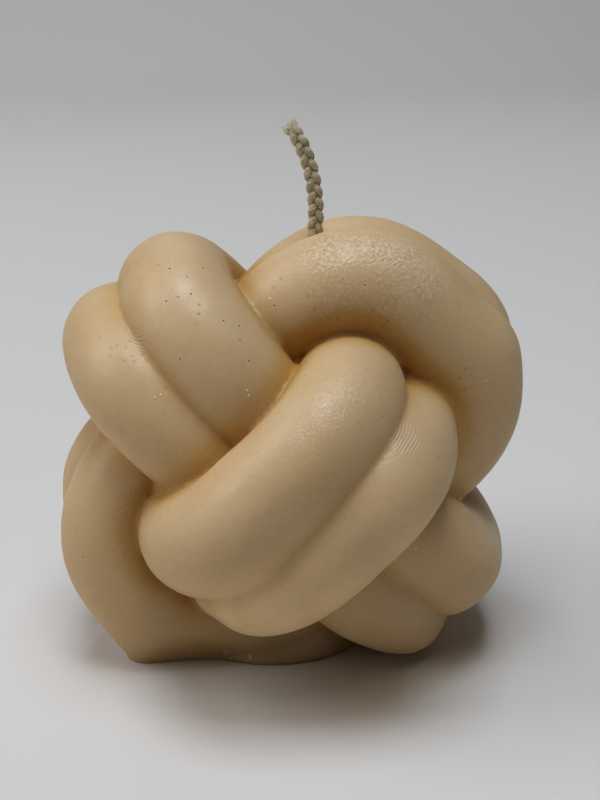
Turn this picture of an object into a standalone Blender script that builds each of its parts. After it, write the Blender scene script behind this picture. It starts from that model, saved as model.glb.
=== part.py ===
"""Knot candle: a wax casting in the form of a doubled three-ring knot, round a plaited cotton wick.

The knot is laid out the way the pattern for its mould is. Three rings of the same long, squarish
outline lie in three planes square to each other, each one passing round the next and through the
one before it, as the turns of a ball knot do. Every ring is a pair of round strands that melt into
each other along a shallow groove. The ball stands on edge, with one pair running from lower left
to upper right across its front, on the round foot that the mould's pouring hole leaves. The ring
behind that pair stands upright, a little in front of the middle. The wick comes up from the foot in
a channel of its own, leaves the wax in the groove of the upright ring, and leans over to the left.

Metres, +Z up. The origin is under the middle of the knot, on the plane that the candle stands on.
The front faces -Y.
"""

import math

import bmesh
import bpy
import numpy as np
from mathutils import Matrix, Vector

# Rings of the knot, sizes to the strands' centre lines
RINGS = 3
RING_HALF_LENGTH = 0.0332
RING_HALF_WIDTH = 0.0188
RING_SQUARENESS = 3.15

# The upright ring, and how far in front of the middle it lies
UPRIGHT_RING = 1
UPRIGHT_RING_SHIFT = 0.0016

# Strands of a ring
STRAND_RADIUS = 0.0088
STRAND_SWELL = 0.00075
PAIR_HALF_SPACING = 0.00605
PAIR_SPREAD = 0.0001

# The warm casting settles this much wider than its mould
SETTLED_WIDTH_RATIO = 1.017

# Heart of the casting, which closes the hollow between the rings, past their inner strands
HEART_OVERLAP = 0.0003
HEART_RADIUS = RING_HALF_WIDTH + STRAND_RADIUS + HEART_OVERLAP

# Stand: the knot's centre over the table, and the foot of the pouring hole
CENTRE_HEIGHT = 0.0356
FOOT_RADIUS = 0.0182
FOOT_TAPER = 0.0025
FOOT_TOP_RADIUS = FOOT_RADIUS - FOOT_TAPER
FOOT_RIM_DEPTH = 0.0003
FOOT_X = -0.0024
FOOT_Y = 0.0030

# Wick: where it leaves the wax, how much of it shows and how it leans, in degrees to the right
WICK_EXIT_X = 0.0045
WICK_STUB_LENGTH = 0.022
WICK_FOOT_RECESS = 0.0005
WICK_LEAN = 4.0
WICK_BEND = -36.0
WICK_BEND_EASE = 1.6

# Plait of the wick
PLAIT_STRANDS = 3
PLAIT_HALF_WIDTH = 0.0008
PLAIT_HALF_DEPTH = 0.0007
PLAIT_PITCH = 0.0064
PLAIT_GAP = 0.0001
CHANNEL_CLEARANCE = 0.0003

# Facets
RING_STEPS = 64
STRAND_SIDES = 24
HEART_SUBDIVISIONS = 4
FOOT_SIDES = 48
PLAIT_STEPS_PER_PITCH = 10
PLAIT_PROBES_PER_STEP = 6
PLAIT_SIDES = 6
CHANNEL_SIDES = 16
OUTLINE_SAMPLES = 1440
CUT_MARGIN = 0.01
SHARP_EDGE = math.radians(35)

WAX_COLOUR = (0.62, 0.46, 0.29)
WAX_ROUGHNESS = 0.42
COTTON_COLOUR = (0.36, 0.30, 0.22)
COTTON_ROUGHNESS = 0.9

# Knot axes to the standing candle: the first faces the front, the others run up to the right and left
HALF_ROOT = math.sqrt(0.5)
STANDING = np.array((
    (0.0, HALF_ROOT, -HALF_ROOT),
    (-1.0, 0.0, 0.0),
    (0.0, HALF_ROOT, HALF_ROOT),
))


def clear_scene():
    """Takes everything out of the open file's scene."""
    for item in list(bpy.data.objects):
        bpy.data.objects.remove(item, do_unlink=True)


def finish_of(name, colour, roughness):
    """A Principled material of one colour and roughness, not metallic."""
    material = bpy.data.materials.new(name)
    material.use_nodes = True
    shader = material.node_tree.nodes["Principled BSDF"]
    shader.inputs["Base Color"].default_value = (*colour, 1.0)
    shader.inputs["Roughness"].default_value = roughness
    shader.inputs["Metallic"].default_value = 0.0
    material.diffuse_color = (*colour, 1.0)
    return material


def object_of(name, shell, material=None):
    """Puts a bmesh in the scene as an object, shaded smooth, with its faces pointing out."""
    bmesh.ops.recalc_face_normals(shell, faces=shell.faces)
    mesh = bpy.data.meshes.new(name)
    shell.to_mesh(mesh)
    shell.free()
    mesh.shade_smooth()
    mesh.set_sharp_from_angle(angle=SHARP_EDGE)
    item = bpy.data.objects.new(name, mesh)
    bpy.context.collection.objects.link(item)
    if material:
        mesh.materials.append(material)
    return item


def shaping_tool(item):
    """Marks an object that only shapes another one."""
    item.hide_render = True
    item.display_type = "WIRE"
    return item


def lofted(sections, closed):
    """A skin over a row of like sections: joined end to start, or capped at both ends."""
    shell = bmesh.new()
    rows = [[shell.verts.new(point) for point in section] for section in sections]
    pairs = list(zip(rows, rows[1:]))
    if closed:
        pairs.append((rows[-1], rows[0]))
    sides = len(rows[0])
    for here, there in pairs:
        for side in range(sides):
            beside = (side + 1) % sides
            shell.faces.new((here[side], here[beside], there[beside], there[side]))
    if not closed:
        shell.faces.new(rows[0])
        shell.faces.new(rows[-1])
    return shell


def ring_outline(stagger=0.0):
    """Even points on the ring's centre line, their outward normals, and how near its ends they lie.

    The first point lies a share of a step along the line, so that no two strands' facets fall together.
    """
    turn = np.linspace(0.0, 2 * math.pi, OUTLINE_SAMPLES + 1)
    power = 2 / RING_SQUARENESS
    along = RING_HALF_LENGTH * np.sign(np.cos(turn)) * np.abs(np.cos(turn)) ** power
    across = RING_HALF_WIDTH * np.sign(np.sin(turn)) * np.abs(np.sin(turn)) ** power
    walked = np.concatenate(([0.0], np.cumsum(np.hypot(np.diff(along), np.diff(across)))))
    stops = (np.arange(RING_STEPS) + stagger) * walked[-1] / RING_STEPS
    points = np.stack((np.interp(stops, walked, along), np.interp(stops, walked, across)), axis=1)
    tangents = np.roll(points, -1, axis=0) - np.roll(points, 1, axis=0)
    normals = np.stack((tangents[:, 1], -tangents[:, 0]), axis=1)
    normals /= np.linalg.norm(normals, axis=1)[:, None]
    endwards = np.cos(2 * np.arctan2(points[:, 1], points[:, 0]))
    return points, normals, endwards


def standing(points):
    """Turns points from the knot's axes to the standing candle's, settles them and lifts them."""
    turned = points @ STANDING.T
    turned[..., 0] *= SETTLED_WIDTH_RATIO
    turned[..., 2] += CENTRE_HEIGHT
    return turned


def ring_shift(ring):
    """How far a ring lies off the middle of the knot, square to its plane."""
    return UPRIGHT_RING_SHIFT if ring == UPRIGHT_RING else 0.0


def ring_strand(name, ring, side):
    """One closed strand: ring 0, 1 or 2 of the knot, on one side of the ring's plane."""
    stagger = (2 * ring + (side < 0)) / (2 * RINGS)
    points, normals, endwards = ring_outline(stagger)
    radius = (STRAND_RADIUS + STRAND_SWELL * endwards)[:, None]
    offset = (ring_shift(ring) + side * (PAIR_HALF_SPACING + PAIR_SPREAD * endwards))[:, None]
    turn = (2 * math.pi * (np.arange(STRAND_SIDES) + stagger) / STRAND_SIDES)[None]
    outwards = radius * np.cos(turn)
    along = points[:, :1] + outwards * normals[:, :1]
    across = points[:, 1:] + outwards * normals[:, 1:]
    aside = offset + radius * np.sin(turn)
    sections = np.stack((along, across, aside), axis=-1)
    sections = np.roll(sections, ring, axis=-1)
    return object_of(name, lofted(standing(sections), closed=True))


def casting_heart():
    """The ball of wax inside the rings."""
    shell = bmesh.new()
    widen = Matrix.Diagonal((SETTLED_WIDTH_RATIO, 1.0, 1.0, 1.0))
    place = Matrix.Translation((0.0, 0.0, CENTRE_HEIGHT)) @ widen
    bmesh.ops.create_icosphere(shell, subdivisions=HEART_SUBDIVISIONS, radius=HEART_RADIUS, matrix=place)
    return object_of("casting_heart", shell)


def circle(radius, height, sides):
    """Points of a level circle round the Z axis."""
    turn = np.linspace(0.0, 2 * math.pi, sides, endpoint=False)
    return np.stack((radius * np.cos(turn), radius * np.sin(turn), np.full(sides, height)), axis=1)


def pouring_foot():
    """The round foot, drawn in towards the heart that its top rim sinks into. It starts below the table."""
    heart_below = math.sqrt(HEART_RADIUS ** 2 - (FOOT_TOP_RADIUS + math.hypot(FOOT_X, FOOT_Y)) ** 2)
    height = CENTRE_HEIGHT - heart_below + FOOT_RIM_DEPTH
    draft = FOOT_TAPER / height
    lowest = circle(FOOT_RADIUS + draft * CUT_MARGIN, -CUT_MARGIN, FOOT_SIDES)
    highest = circle(FOOT_TOP_RADIUS, height, FOOT_SIDES)
    sections = np.stack((lowest, highest)) + np.array((FOOT_X, FOOT_Y, 0.0))
    return object_of("pouring_foot", lofted(sections, closed=False))


def table_cut():
    """A block that takes off what lies below the plane the candle stands on."""
    half_side = RING_HALF_LENGTH + 2 * STRAND_RADIUS + CUT_MARGIN
    shell = bmesh.new()
    size = Matrix.Diagonal((2 * half_side, 2 * half_side, half_side, 1.0))
    place = Matrix.Translation((0.0, 0.0, -half_side / 2)) @ size
    bmesh.ops.create_cube(shell, size=1.0, matrix=place)
    return object_of("table_cut", shell)


def groove_height(x):
    """Height of the groove between the strands of the upright pair at the crest, over x."""
    points, normals, endwards = ring_outline()
    radius = STRAND_RADIUS + STRAND_SWELL * endwards
    spacing = PAIR_HALF_SPACING + PAIR_SPREAD * endwards
    groove = points + normals * np.sqrt(radius ** 2 - spacing ** 2)[:, None]
    place = standing(np.stack((np.zeros(len(groove)), groove[:, 0], groove[:, 1]), axis=1))
    upper = place[place[:, 2] > CENTRE_HEIGHT]
    upper = upper[np.argsort(upper[:, 0])]
    return float(np.interp(x, upper[:, 0], upper[:, 2]))


def wick_route(start, end, step):
    """Points and leans of the wick's centre line, from and to a distance along it from the foot's plane."""
    lean = math.radians(WICK_LEAN)
    exit_height = groove_height(WICK_EXIT_X)
    exit_distance = exit_height / math.cos(lean)
    stops = np.linspace(start, end, max(2, math.ceil((end - start) / step) + 1))
    fine = np.linspace(min(start, 0.0), end, OUTLINE_SAMPLES)
    share = np.clip((fine - exit_distance) / WICK_STUB_LENGTH, 0.0, None)
    leans = lean + math.radians(WICK_BEND) * share ** WICK_BEND_EASE
    paces = np.diff(fine)
    middle = (leans[1:] + leans[:-1]) / 2
    x = np.concatenate(([0.0], np.cumsum(np.sin(middle) * paces)))
    z = np.concatenate(([0.0], np.cumsum(np.cos(middle) * paces)))
    x += WICK_EXIT_X - np.interp(exit_distance, fine, x)
    z += exit_height - np.interp(exit_distance, fine, z)
    y = np.full(len(stops), -UPRIGHT_RING_SHIFT)
    points = np.stack((np.interp(stops, fine, x), y, np.interp(stops, fine, z)), axis=1)
    return points, np.interp(stops, fine, leans), stops


def wick_length():
    """Length of the wick along its route, from the foot's plane."""
    return groove_height(WICK_EXIT_X) / math.cos(math.radians(WICK_LEAN)) + WICK_STUB_LENGTH


def plait_lines(step):
    """Centre lines of the wick's strands, each a figure of eight drawn out along the route."""
    route, leans, stops = wick_route(WICK_FOOT_RECESS, wick_length(), step)
    sideways = np.stack((np.cos(leans), np.zeros(len(leans)), -np.sin(leans)), axis=1)
    backwards = np.array((0.0, 1.0, 0.0))
    lines = []
    for strand in range(PLAIT_STRANDS):
        phase = 2 * math.pi * (stops / PLAIT_PITCH + strand / PLAIT_STRANDS)
        wide = PLAIT_HALF_WIDTH * np.sin(phase)[:, None] * sideways
        deep = PLAIT_HALF_DEPTH * np.sin(2 * phase)[:, None] * backwards
        lines.append(route + wide + deep)
    return lines


def plait_strand_radius():
    """Half the least distance between two strands' centre lines, less half the gap between them."""
    fine = plait_lines(PLAIT_PITCH / (PLAIT_STEPS_PER_PITCH * PLAIT_PROBES_PER_STEP))
    least = math.inf
    for first in range(PLAIT_STRANDS):
        for second in range(first + 1, PLAIT_STRANDS):
            apart = np.linalg.norm(fine[first][:, None] - fine[second][None], axis=-1)
            least = min(least, float(apart.min()))
    return (least - PLAIT_GAP) / 2


def tube_sections(line, radius, sides):
    """Round sections square to a line, none turned against the one before it."""
    tangents = np.gradient(line, axis=0)
    side = Vector((0.0, 1.0, 0.0))
    sections = []
    for point, tangent in zip(line, tangents):
        forward = Vector(tangent).normalized()
        side = (side - forward * side.dot(forward)).normalized()
        other = forward.cross(side)
        turns = (2 * math.pi * step / sides for step in range(sides))
        sections.append([
            Vector(point) + radius * (math.cos(turn) * side + math.sin(turn) * other)
            for turn in turns
        ])
    return sections


def wick_strand(name, line, radius, material):
    """One cotton strand of the plait."""
    return object_of(name, lofted(tube_sections(line, radius, PLAIT_SIDES), closed=False), material)


def wick_channel(strand_radius):
    """The channel that the plait keeps open in the wax, run out past both ends of the casting."""
    reach = max(PLAIT_HALF_WIDTH, PLAIT_HALF_DEPTH) + strand_radius + CHANNEL_CLEARANCE
    top = wick_length()
    line, _, _ = wick_route(-CUT_MARGIN, top, STRAND_RADIUS / 2)
    return object_of("wick_channel", lofted(tube_sections(line, reach, CHANNEL_SIDES), closed=False))


def shape_with(item, tool, operation):
    """Adds or cuts another object's form."""
    step = item.modifiers.new(f"{operation.lower()}_{tool.name}", "BOOLEAN")
    step.operation = operation
    step.solver = "EXACT"
    step.object = shaping_tool(tool)


def wax_knot(material, strand_radius):
    """The casting: six strands, the heart and the foot in one, cut flat below and bored for the wick."""
    strands = []
    for ring in range(RINGS):
        for side in (1, -1):
            strands.append(ring_strand(f"ring_{ring + 1}_strand_{'a' if side > 0 else 'b'}", ring, side))
    casting = strands[0]
    casting.name = "wax_knot"
    casting.data.materials.append(material)
    for tool in strands[1:] + [casting_heart(), pouring_foot()]:
        shape_with(casting, tool, "UNION")
    shape_with(casting, table_cut(), "DIFFERENCE")
    shape_with(casting, wick_channel(strand_radius), "DIFFERENCE")
    return casting


def main():
    clear_scene()
    wax = finish_of("cream_wax", WAX_COLOUR, WAX_ROUGHNESS)
    cotton = finish_of("wick_cotton", COTTON_COLOUR, COTTON_ROUGHNESS)
    strand_radius = plait_strand_radius()
    wax_knot(wax, strand_radius)
    for number, line in enumerate(plait_lines(PLAIT_PITCH / PLAIT_STEPS_PER_PITCH), start=1):
        wick_strand(f"wick_strand_{number}", line, strand_radius, cotton)


main()
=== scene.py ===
"""Knot candle: a cast wax knot and its plaited wick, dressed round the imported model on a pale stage.

The wax is one closed skin. A geometry tree works out, for any place, how far it lies from the six
strands, the heart and the foot, melts them into each other, cuts them flat at the table and lays
the skin where that distance is nought. The wick is three yarns that another tree plaits along the
route of the wick. Metres, +Z up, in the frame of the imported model.
"""

import math

import bpy
from bpy.props import FloatProperty, FloatVectorProperty, PointerProperty
from bpy.types import Operator, Panel, PropertyGroup
from mathutils import Matrix, Vector


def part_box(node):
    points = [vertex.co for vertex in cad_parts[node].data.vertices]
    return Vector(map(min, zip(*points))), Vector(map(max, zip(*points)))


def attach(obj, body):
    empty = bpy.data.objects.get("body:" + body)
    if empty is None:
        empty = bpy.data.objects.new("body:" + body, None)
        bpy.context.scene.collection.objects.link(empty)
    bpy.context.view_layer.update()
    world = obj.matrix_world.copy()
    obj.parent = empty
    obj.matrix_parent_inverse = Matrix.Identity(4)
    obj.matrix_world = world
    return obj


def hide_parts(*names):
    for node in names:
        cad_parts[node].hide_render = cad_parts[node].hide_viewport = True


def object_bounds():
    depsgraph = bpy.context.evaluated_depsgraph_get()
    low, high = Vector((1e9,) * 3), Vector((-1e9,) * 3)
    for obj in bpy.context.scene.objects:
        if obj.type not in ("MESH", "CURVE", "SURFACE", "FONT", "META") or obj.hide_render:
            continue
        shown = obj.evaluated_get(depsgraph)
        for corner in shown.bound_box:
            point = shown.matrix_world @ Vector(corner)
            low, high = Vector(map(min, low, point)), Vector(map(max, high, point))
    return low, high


bl_info = {
    "name": "Knot Candle",
    "version": (1, 0, 0),
    "blender": (4, 5, 0),
    "location": "View3D > Sidebar > Knot Candle",
    "description": "Casts a doubled ball-knot candle, plaits its wick and sets both on a pale stage",
    "category": "Object",
}

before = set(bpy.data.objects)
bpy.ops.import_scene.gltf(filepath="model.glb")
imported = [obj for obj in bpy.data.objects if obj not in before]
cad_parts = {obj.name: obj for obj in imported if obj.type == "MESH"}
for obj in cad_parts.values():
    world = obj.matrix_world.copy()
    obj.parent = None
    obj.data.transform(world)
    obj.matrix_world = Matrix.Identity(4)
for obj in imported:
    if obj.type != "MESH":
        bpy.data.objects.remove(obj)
cad_low, cad_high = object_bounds()

MILLIMETRE = 0.001
HALF_ROOT = math.sqrt(0.5)
WICK_STRANDS = 3

# Points round the outline that the strands follow
OUTLINE_POINTS = 720

# How far ahead of the skin other wax is looked for, to find its hollows
HOLLOW_LOOKS = (0.004, 0.011)
HOLLOW_BLUR = 8

# Steps that bring the skin onto the true surface
SKIN_STEPS = 4

# Value of the grid outside the box that it is measured in
GRID_BACKGROUND = -5.0

# How high the foot reaches, as a share of the knot's centre height
FOOT_REACH = 0.45

# Scales of the cast skin's broad and close wander, and how strong the close one is
BROAD_WANDER = 70.0
CLOSE_WANDER = 260.0
CLOSE_SHARE = 0.3

# Points along the line of a strand of the wick, and the bend's length past the stub's end
STRAND_POINTS = 560
BEND_OVERRUN = 0.0006

# Sides and plies of a yarn
YARN_SIDES = 20
YARN_PLIES = 5

# The three rings, of which the second stands upright
RINGS = 3
UPRIGHT_RING = 1

# Unevenness of the strands: ring, side, place, push and swell of each touch, in millimetres.
# These rows are not hand work. A separate program fitted them to the strands' outlines in the
# photograph, and its rounded result was pasted here, against the rule for these scripts.
WORK_REACH = 12.0
PATTERN_WORK = (
    (0, 1, (0.8, -32.7, 45.0), (0.2, 0.1, 0.2), -0.48),
    (0, 1, (7.8, -22.4, 51.8), (0.1, -0.2, -1.0), 0.95),
    (0, 1, (9.2, -7.7, 53.1), (0.5, -0.9, -3.4), -0.31),
    (0, 1, (-17.8, -7.2, 26.6), (0.5, -0.2, -0.6), -0.13),
    (0, 1, (-16.6, -22.0, 27.9), (-0.3, 0.1, 0.7), 0.14),
    (0, 1, (-9.9, -32.6, 34.6), (0.8, -0.1, 0.6), 0.33),
    (0, -1, (9.6, -32.7, 36.3), (0.2, 0.3, 1.4), -0.39),
    (0, -1, (16.5, -22.4, 43.2), (0.3, -0.4, -0.8), -0.22),
    (0, -1, (17.8, -7.7, 44.6), (1.7, -0.7, -1.4), 0.07),
    (0, -1, (-9.2, -7.2, 18.1), (-0.2, -0.1, -0.2), 0.05),
    (0, -1, (-7.9, -22.0, 19.3), (-0.7, 0.8, 1.8), -0.36),
    (0, -1, (-1.1, -32.6, 25.9), (1.0, 0.8, 1.8), -0.36),
    (1, 1, (18.3, -7.7, 63.8), (-0.6, -0.3, -0.1), 0.52),
    (1, 1, (4.0, -7.7, 63.4), (-0.9, 0.3, 1.1), 0.55),
    (1, 1, (-8.0, -7.6, 54.3), (-0.6, 0.2, 0.2), 0.11),
    (1, 1, (-18.7, -7.6, 43.7), (-0.3, 0.1, 0.4), 0.15),
    (1, 1, (-28.0, -7.7, 32.1), (0.3, 0.2, 0.6), 0.03),
    (1, 1, (-28.9, -7.7, 17.9), (0.7, -0.5, -1.7), 0.07),
    (1, 1, (-18.3, -7.7, 7.4), (-2.3, 0.3, -0.3), 0.24),
    (1, 1, (-4.0, -7.7, 7.8), (-0.4, 0.4, 1.0), -0.15),
    (1, 1, (18.7, -7.6, 27.5), (-1.2, 0.5, 0.9), -0.23),
    (1, 1, (28.0, -7.7, 39.1), (0.0, -0.1, -0.2), -0.02),
    (1, 1, (28.9, -7.7, 53.3), (-1.0, -0.5, -1.1), -0.04),
    (1, -1, (4.0, 4.5, 63.4), (0.6, -0.1, 0.1), -0.2),
    (1, -1, (-8.0, 4.4, 54.3), (1.0, -0.7, -1.4), -0.47),
    (1, -1, (-28.0, 4.5, 32.1), (-0.2, 0.0, 0.0), 0.04),
    (1, -1, (28.0, 4.5, 39.1), (0.4, 0.0, 0.2), 0.08),
    (1, -1, (28.9, 4.5, 53.3), (1.5, 0.0, 0.9), 0.33),
    (2, 1, (-19.1, -7.2, 63.1), (1.8, 0.2, 1.3), 0.76),
    (2, 1, (-11.7, -16.9, 55.7), (0.3, -0.4, -0.4), 0.27),
    (2, 1, (-1.2, -18.7, 45.2), (-0.6, -0.4, -0.8), 0.18),
    (2, 1, (20.2, -17.0, 24.4), (0.3, 0.1, 0.3), 0.09),
    (2, 1, (27.9, 7.2, 16.8), (0.4, 0.0, 0.2), 0.08),
    (2, 1, (-11.4, 17.0, 55.4), (-0.3, -0.1, -0.5), -0.12),
    (2, 1, (-19.0, 7.6, 63.0), (0.6, -0.3, -0.7), -0.16),
    (2, -1, (-27.9, -7.2, 54.4), (0.7, 0.0, 0.3), -0.22),
    (2, -1, (-20.5, -16.9, 47.1), (-0.9, 0.2, -0.1), -0.21),
    (2, -1, (-9.8, -18.7, 36.8), (-0.2, 0.0, -0.4), -0.05),
    (2, -1, (11.4, -17.0, 15.8), (-0.2, 0.0, 0.2), 0.03),
    (2, -1, (19.0, -7.6, 8.2), (-0.2, 0.7, 1.9), -0.26),
    (2, -1, (-27.8, 7.6, 54.3), (-1.3, 0.0, -0.6), 0.05),
)

# Closer touches along the outline, each with its own reach at the end
FINE_WORK = (
    (0, -1, (-15.0, -15.5, 11.0), (-1.3, 0.0, -0.4), 0.0, 6.0),
    (0, -1, (-10.5, -34.5, 20.0), (-0.6, -0.1, -0.7), 0.0, 5.0),
    (1, 1, (-22.0, -12.0, 1.5), (-0.6, 0.9, 0.0), 0.0, 6.0),
    (1, 1, (-27.5, -9.0, 2.0), (-2.6, 0.0, -0.3), 0.0, 6.0),
    (1, 1, (-19.5, -13.5, 1.5), (0.0, 2.8, 0.7), 0.0, 7.0),
    (1, 1, (-12.0, -12.5, 1.5), (0.0, 2.0, 0.6), 0.0, 6.0),
    (1, -1, (-37.0, 3.0, 35.0), (-0.8, 0.0, 0.3), 0.0, 9.0),
    (1, 1, (36.5, -8.0, 57.0), (0.5, -0.1, 0.2), 0.0, 6.0),
    (1, 1, (36.5, -10.5, 57.0), (0.6, 0.0, 0.2), 0.0, 6.0),
    (1, 1, (38.0, -1.5, 56.5), (0.0, 0.0, 0.0), 0.8, 5.0),
    (1, -1, (38.0, -1.5, 56.5), (0.0, 0.0, 0.0), 0.8, 5.0),
    (1, -1, (36.0, 4.0, 61.0), (0.5, 0.0, 0.4), 0.0, 8.0),
    (2, 1, (-10.0, 8.0, 67.5), (0.7, 0.0, 0.4), 0.0, 7.0),
    (2, 1, (-6.5, 14.5, 62.5), (0.7, 0.0, 0.4), 0.0, 6.0),
    (2, 1, (-16.0, -2.5, 73.2), (0.0, 0.0, 0.8), 0.0, 8.0),
    (2, 1, (-23.5, -5.0, 68.5), (1.0, 0.0, -0.4), 0.0, 6.0),
    (2, 1, (33.0, -15.9, 24.5), (-0.4, 0.1, -0.2), 0.0, 8.0),
    (2, 1, (37.0, -9.5, 20.0), (-0.4, 0.0, 0.0), 0.0, 5.0),
    (2, 1, (26.0, -19.0, 11.5), (-0.1, -0.5, -1.3), 0.0, 6.0),
    (2, -1, (21.5, -18.0, 5.0), (0.5, -0.4, -1.1), 0.0, 7.0),
    (2, -1, (-30.0, 0.0, 65.5), (0.0, 0.0, 0.7), 0.0, 7.0),
    (2, -1, (-36.1, -10.7, 57.4), (0.5, 0.1, 0.0), 0.0, 8.0),
    (2, -1, (6.0, -22.0, 10.5), (-0.5, 0.0, -0.4), 0.0, 7.0),
)

# Hollows of the heart in the gaps between the strands: place, reach and depth, in millimetres
HEART_HOLLOWS = (
    ((-1.0, -16.0, 57.0), 7.0, 4.0),
)

# Marks on the wax, in millimetres: open pinholes, closing ones, prints of drops, and specks of dust.
# Their pixels were picked by eye, and a separate program cast them onto the wax, as it did the
# places of the ridge line and of most patches below. Their pixels were picked and cast onto the wax,
# as were the places of the ridge's painted highlight line and of most patches below.
PINHOLES = (
    (-19.4, -14.4, 71.4), (-14.1, -14.0, 71.2), (-16.2, -19.2, 68.4), (-20.1, -19.3, 67.4),
    (-18.3, -23.9, 59.3), (-11.3, -22.1, 64.7), (-8.9, -21.7, 63.7), (-7.6, -25.0, 58.9),
    (11.4, -17.1, 68.4), (11.8, -35.1, 52.6), (0.8, -28.7, 57.5), (20.6, -34.1, 45.1),
    (-35.6, -15.6, 22.7), (-2.9, -15.5, 65.1),
)
FAINT_HOLES = (
    (-16.7, -16.4, 70.5), (-21.2, -12.8, 71.7), (-15.0, -20.7, 67.0), (-15.1, -21.8, 65.8),
    (-26.2, -2.0, 69.0), (-7.4, -8.6, 67.4), (19.1, -7.8, 74.1), (-18.3, -19.4, 68.0),
    (-8.9, -23.4, 61.9),
)
DROPS = (
    (-26.2, -17.1, 60.5), (-26.8, -18.1, 59.7), (-25.9, -19.5, 58.6), (-24.2, -19.3, 58.7),
    (-27.1, -19.9, 58.0), (-25.5, -20.2, 57.9), (-29.1, -17.6, 59.5), (-28.2, -17.6, 59.9),
    (-29.3, -18.6, 58.5), (-30.9, -15.0, 60.5), (-20.6, -22.7, 54.2), (5.7, -16.9, 63.1),
    (7.2, -16.8, 62.9), (10.2, -16.8, 62.8), (12.6, -17.4, 64.4), (14.0, -17.3, 63.2),
    (14.3, -16.9, 61.5), (15.0, -17.3, 62.5), (3.4, -16.9, 64.7), (27.9, -17.6, 54.0),
    (28.9, -17.5, 54.0), (27.1, -17.5, 52.5), (28.9, -17.6, 52.8), (28.9, -17.5, 50.7),
    (27.9, -17.4, 50.4), (2.4, -16.4, 66.8), (-1.7, -13.7, 69.0), (-2.9, -14.1, 67.6),
)
SPECKS = (
    (-3.6, -14.8, 66.0), (22.8, -8.8, 72.2), (31.5, -17.2, 51.7), (-21.5, -23.5, 53.4),
    (18.8, -26.5, 26.4), (-19.0, -17.7, 69.3), (-22.4, -23.7, 53.1), (-7.9, -27.0, 53.9),
    (-8.1, -26.8, 54.7), (-12.1, -12.4, 1.5), (-8.0, -14.1, 1.2), (-11.4, -12.8, 2.1),
    (-12.6, -12.9, 2.5), (-11.2, -12.7, 0.6), (-8.0, -14.1, 1.9), (-11.8, -12.6, 1.9),
    (-12.3, -12.7, 2.1), (-8.0, -14.1, 1.6),
)

# Spacing of the random pinholes and drops' prints at the back, in millimetres
BACK_HOLE_SPACING = 6.0
BACK_DROP_SPACING = 2.4

# Where the layers of the printed master still show in the wax: place, reach and strength
LAYER_AXIS = (-0.02, -0.57, 0.82)
LAYER_STEP = 0.15
LAYER_PATCHES = (
    ((13.0, -38.0, 45.5), 4.0, 0.6),
    ((-11.2, -18.9, 67.2), 2.4, 0.6),
    ((-9.6, -22.6, 63.3), 3.0, 0.8),
    ((15.6, -13.4, 73.2), 3.4, 0.9),
    ((-1.6, -39.0, 51.4), 3.0, 0.5),
)

# Terraces along two creases: middle of the arcs, their spacing, place, reach and strength
TERRACES = (
    ((6.0, -31.5, 54.5), 0.5, (15.5, -33.3, 47.9), 2.9, 1.6),
    ((-21.5, -14.5, 66.0), 0.5, (-24.8, -18.0, 60.6), 2.4, 1.0),
)

# Where the skin is pitted like peel, and where it is grained: place, reach and strength
PEEL_PATCHES = (
    ((6.0, -12.8, 73.3), 4.5, 1.0),
    ((12.5, -12.8, 74.0), 4.5, 1.0),
    ((18.0, -13.5, 71.5), 4.5, 0.8),
    ((21.0, -15.5, 67.5), 4.5, 0.7),
    ((8.0, -16.0, 69.0), 7.0, 0.35),
    ((16.0, -17.0, 67.5), 6.0, 0.35),
)
GLOSSY_RIDGE = (30.0, -16.5, 27.6)

# A painted highlight: the pale streak that runs down that ridge
PAINTED_RIDGE_HIGHLIGHT = (
    (27.8, -18.6, 29.7), (28.2, -18.5, 29.3), (28.7, -18.4, 28.9), (29.2, -18.2, 28.4),
    (29.7, -18.0, 27.9), (30.3, -17.5, 27.3), (30.8, -16.9, 26.7),
)
GRAIN_PATCHES = (
    ((7.1, -33.6, 57.3), 5.0, 0.9),
    ((4.5, -36.6, 55.2), 5.0, 1.0),
    ((0.5, -39.0, 52.3), 4.5, 0.8),
)

# Painted light and shade on the wax: painted light on the lit lower front, a painted grey highlight on a
# shoulder, and painted shade at the foot, low down and in a crease
PAINTED_LIGHT_PATCHES = (
    ((-5.9, -39.2, 22.5), 8.0, 0.75),
    ((-12.0, -35.0, 22.5), 6.0, 0.5),
    ((4.0, -41.1, 26.0), 8.0, 0.7),
    ((16.3, -38.8, 36.0), 8.0, 0.55),
)
PAINTED_HIGHLIGHT_PATCHES = (
    ((33.5, -10.0, 24.5), 5.5, 0.6),
    ((36.0, -13.0, 19.0), 6.0, 0.25),
)
PAINTED_SHADE_PATCHES = (
    ((-4.5, -14.8, 2.0), 9.0, 0.6),
    ((5.0, -13.4, 2.0), 9.0, 0.6),
    ((24.0, -17.0, 7.5), 6.0, 0.4),
    ((-7.7, -26.8, 54.0), 5.0, 0.25),
)


# Node trees


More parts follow.
